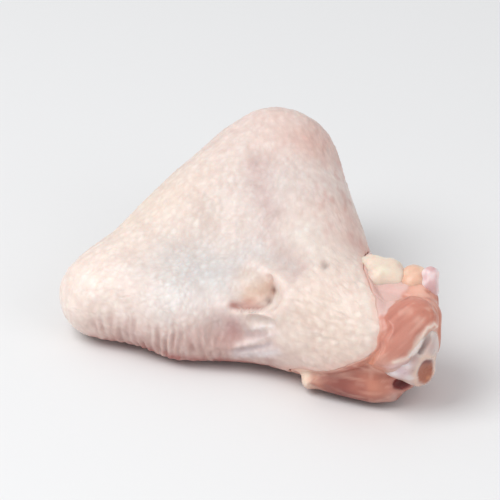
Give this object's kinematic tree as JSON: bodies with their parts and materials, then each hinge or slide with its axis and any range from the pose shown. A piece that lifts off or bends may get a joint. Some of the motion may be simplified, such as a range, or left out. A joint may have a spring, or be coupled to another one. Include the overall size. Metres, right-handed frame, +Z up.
{
  "type": "raw chicken wing",
  "caption": "Whole raw poultry wing, folded flat, skin on, with cut meat and a cartilage bone end showing at the shoulder.",
  "frame": {"origin": "middle of the wing's footprint, on the surface it lies on", "axes": "+X from the wrist side to the cut shoulder side, +Y towards the elbow, +Z up from the surface"},
  "size_m": [0.092, 0.0956, 0.0415],
  "materials": {
    "skin": "moist, satin",
    "meat": "moist, satin",
    "cartilage": "moist, glossy",
    "fat": "moist, satin",
    "small_fat": "moist, satin",
    "tendon": "moist, glossy"
  },
  "bodies": {
    "root": {"skin": "skin", "meat": "meat", "humerus": "cartilage", "fat": "fat", "small_fat": "small_fat", "tendon": "tendon"}
  },
  "joints": []
}
